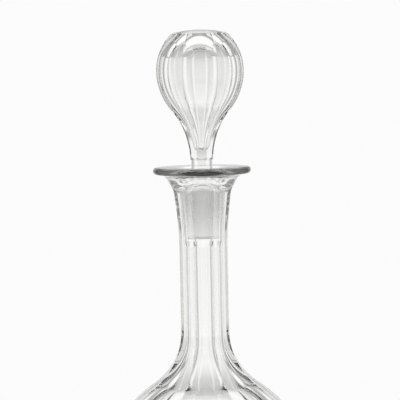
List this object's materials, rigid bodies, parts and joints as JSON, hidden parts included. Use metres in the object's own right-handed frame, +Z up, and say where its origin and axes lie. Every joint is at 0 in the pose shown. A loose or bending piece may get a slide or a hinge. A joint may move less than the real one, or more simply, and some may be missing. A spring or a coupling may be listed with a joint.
{
  "type": "wine decanter",
  "caption": "Shaft-and-globe glass decanter with a panel-cut neck, a broad flat lip and a hollow panel-cut stopper ground into the mouth, for serving wine.",
  "frame": {"origin": "centre of the flat base, on the surface that the decanter stands on", "axes": "+Z up along the axis of the vessel and the stopper; one panel of the neck and of the stopper faces -Y"},
  "size_m": [0.131, 0.131, 0.3342],
  "materials": {
    "vessel_glass": "fire-polished and cut clear glass with a faint grey-green cast, fine-ground in the seat of the mouth",
    "stopper_glass": "polished cut clear glass, hollow inside, fine-ground on the plug"
  },
  "bodies": {
    "vessel": {"vessel": "vessel_glass"},
    "stopper": {"stopper": "stopper_glass"}
  },
  "joints": [
    {"name": "stopper_lift", "type": "slide", "parent": "vessel", "child": "stopper", "axis": [0, 0, 1], "range_m": [0, 0.06]}
  ]
}
